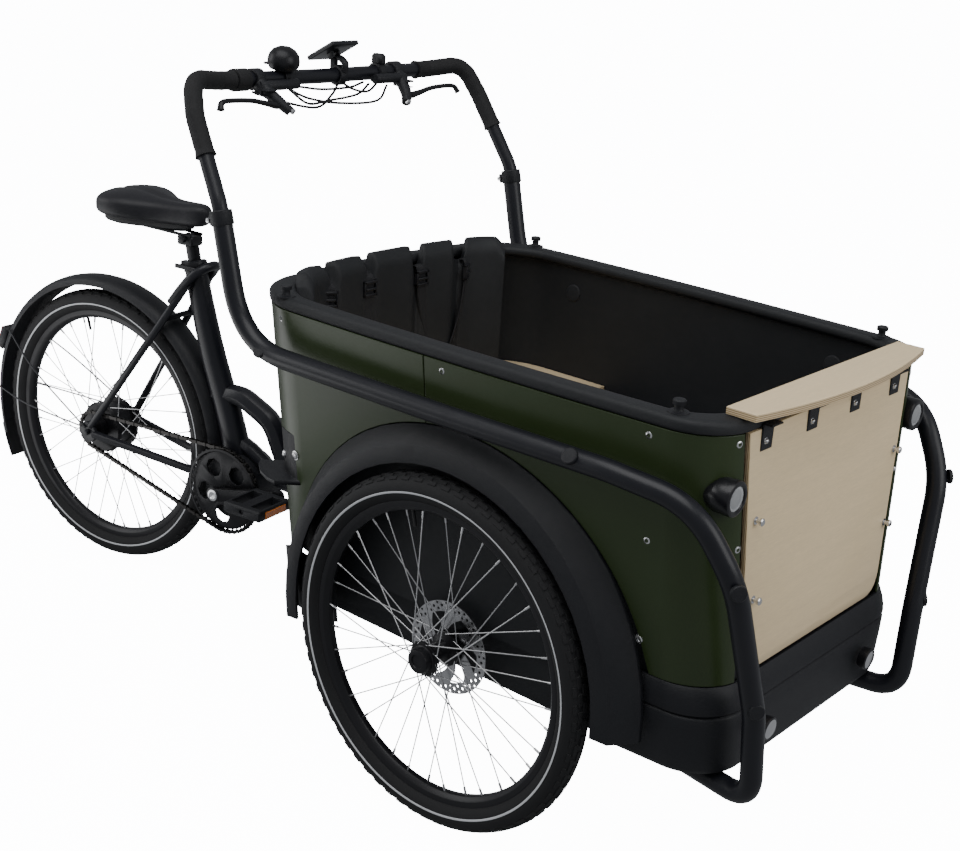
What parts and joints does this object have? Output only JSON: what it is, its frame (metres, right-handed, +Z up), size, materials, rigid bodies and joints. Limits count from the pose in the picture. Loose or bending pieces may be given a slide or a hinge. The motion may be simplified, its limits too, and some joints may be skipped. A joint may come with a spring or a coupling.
{
  "type": "cargo tricycle",
  "caption": "Pedal-driven cargo tricycle: a panelled box with bench between two front wheels, a push handlebar behind it, and a saddle, cranks and driven wheel on a steered rear frame.",
  "frame": {"origin": "on the ground, halfway along and across the whole object", "axes": "+X forward, the way it rides, towards the front of the box; +Y to the rider's left; +Z up"},
  "size_m": [2.0807, 0.798, 1.1837],
  "materials": {
    "box_panel": "satin dark olive green paint",
    "frame_black": "satin black powder coat",
    "black_plastic": "fine grained black plastic",
    "tub_plastic": "grained dark grey plastic",
    "plywood": "oiled birch plywood, laminated edge",
    "tyre": "matt rubber with block tread",
    "rim": "black anodised",
    "hub": "satin alloy with steel spokes",
    "rotor": "ground steel disc",
    "grip": "soft matt rubber",
    "saddle": "soft black cover",
    "webbing": "woven polyester webbing",
    "padding": "padded cloth",
    "bright_alloy": "polished alloy",
    "chain_steel": "oiled steel",
    "lamp": "gloss black housing with clear lens",
    "display": "gloss dark screen"
  },
  "bodies": {
    "cargo_box": {"tub": "tub_plastic", "front_panel_right": "box_panel", "rear_panel_right": "box_panel", "front_panel_left": "box_panel", "rear_panel_left": "box_panel", "wheel_arch_right": "black_plastic", "wheel_arch_left": "black_plastic", "front_skirt": "black_plastic", "base_tray": "tub_plastic", "chassis": "frame_black", "front_board": "plywood", "top_shelf": "plywood", "seat_board": "plywood", "backrest": "padding", "harness_right": "webbing", "harness_left": "webbing", "side_rail_right": "frame_black", "side_rail_left": "frame_black", "side_step_right": "black_plastic", "side_step_left": "black_plastic", "headlamp_right": "lamp", "headlamp_left": "lamp"},
    "handlebar": {"handlebar": "frame_black", "grip_right": "grip", "grip_left": "grip", "brake_mount_right": "black_plastic", "brake_mount_left": "black_plastic", "bell": "bright_alloy", "display_mount": "black_plastic"},
    "brake_lever_right": {"brake_lever_right": "black_plastic"},
    "brake_lever_left": {"brake_lever_left": "black_plastic"},
    "twist_shifter": {"twist_shifter": "grip"},
    "bell_lever": {"bell_lever": "bright_alloy"},
    "display": {"display": "display"},
    "front_wheel_right": {"front_right_tyre": "tyre", "front_right_rim": "rim", "front_right_hub": "hub", "rotor_right": "rotor"},
    "front_wheel_left": {"front_left_tyre": "tyre", "front_left_rim": "rim", "front_left_hub": "hub", "rotor_left": "rotor"},
    "rear_frame": {"main_frame": "frame_black", "seat_tube": "frame_black", "rear_stays_right": "frame_black", "rear_stays_left": "frame_black", "motor_housing": "black_plastic", "chain": "chain_steel", "rear_fender": "black_plastic", "seat_clamp": "bright_alloy"},
    "rear_wheel": {"rear_tyre": "tyre", "rear_rim": "rim", "rear_hub": "hub"},
    "crankset": {"chainring": "chain_steel", "crank_right": "bright_alloy", "crank_left": "bright_alloy"},
    "pedal_right": {"pedal_right": "grip"},
    "pedal_left": {"pedal_left": "grip"},
    "seat_post": {"seat_post": "bright_alloy", "saddle": "saddle"}
  },
  "joints": [
    {"name": "steer", "type": "hinge", "parent": "cargo_box", "child": "rear_frame", "pos_m": [0.0455, 0, 0.29], "axis": [0, 0, 1], "range_deg": [-36, 20]},
    {"name": "handlebar_height", "type": "slide", "parent": "cargo_box", "child": "handlebar", "axis": [-0.2518, 0, 0.9678], "range_m": [-0.01, 0.06]},
    {"name": "brake_right", "type": "hinge", "parent": "handlebar", "child": "brake_lever_right", "pos_m": [-0.1234, -0.182, 1.1008], "axis": [0, 0, -1], "range_deg": [0, 9], "stiffness_Nm_per_rad": 0.6},
    {"name": "brake_left", "type": "hinge", "parent": "handlebar", "child": "brake_lever_left", "pos_m": [-0.1234, 0.182, 1.1008], "axis": [0, 0, 1], "range_deg": [0, 9], "stiffness_Nm_per_rad": 0.6},
    {"name": "shift_twist", "type": "hinge", "parent": "handlebar", "child": "twist_shifter", "pos_m": [-0.1617, -0.216, 1.12132], "axis": [0.0499, -0.9986, 0.0154], "range_deg": [-60, 60]},
    {"name": "bell_ring", "type": "hinge", "parent": "handlebar", "child": "bell_lever", "pos_m": [-0.167, -0.11, 1.14419], "axis": [0, 0, 1], "range_deg": [-20, 20], "stiffness_Nm_per_rad": 0.05},
    {"name": "display_tilt", "type": "hinge", "parent": "handlebar", "child": "display", "pos_m": [-0.18275, 0.035, 1.15154], "axis": [0, 1, 0], "range_deg": [-20, 20]},
    {"name": "front_axle_right", "type": "hinge", "parent": "cargo_box", "child": "front_wheel_right", "pos_m": [0.4955, -0.355, 0.302], "axis": [0, 1, 0], "continuous": true},
    {"name": "front_axle_left", "type": "hinge", "parent": "cargo_box", "child": "front_wheel_left", "pos_m": [0.4955, 0.355, 0.302], "axis": [0, 1, 0], "continuous": true},
    {"name": "rear_axle", "type": "hinge", "parent": "rear_frame", "child": "rear_wheel", "pos_m": [-0.70017, -0.1048, 0.302], "axis": [-0.1392, 0.9903, 0], "continuous": true},
    {"name": "crank_axle", "type": "hinge", "parent": "rear_frame", "child": "crankset", "pos_m": [-0.32882, -0.05261, 0.262], "axis": [-0.1392, 0.9903, 0], "continuous": true},
    {"name": "pedal_axle_right", "type": "hinge", "parent": "crankset", "child": "pedal_right", "pos_m": [-0.16548, -0.02965, 0.30313], "axis": [-0.1392, 0.9903, 0], "continuous": true},
    {"name": "pedal_axle_left", "type": "hinge", "parent": "crankset", "child": "pedal_left", "pos_m": [-0.49217, -0.07556, 0.22087], "axis": [-0.1392, 0.9903, 0], "continuous": true},
    {"name": "seat_height", "type": "slide", "parent": "rear_frame", "child": "seat_post", "axis": [-0.2259, -0.0318, 0.9736], "range_m": [-0.015, 0.09]}
  ]
}
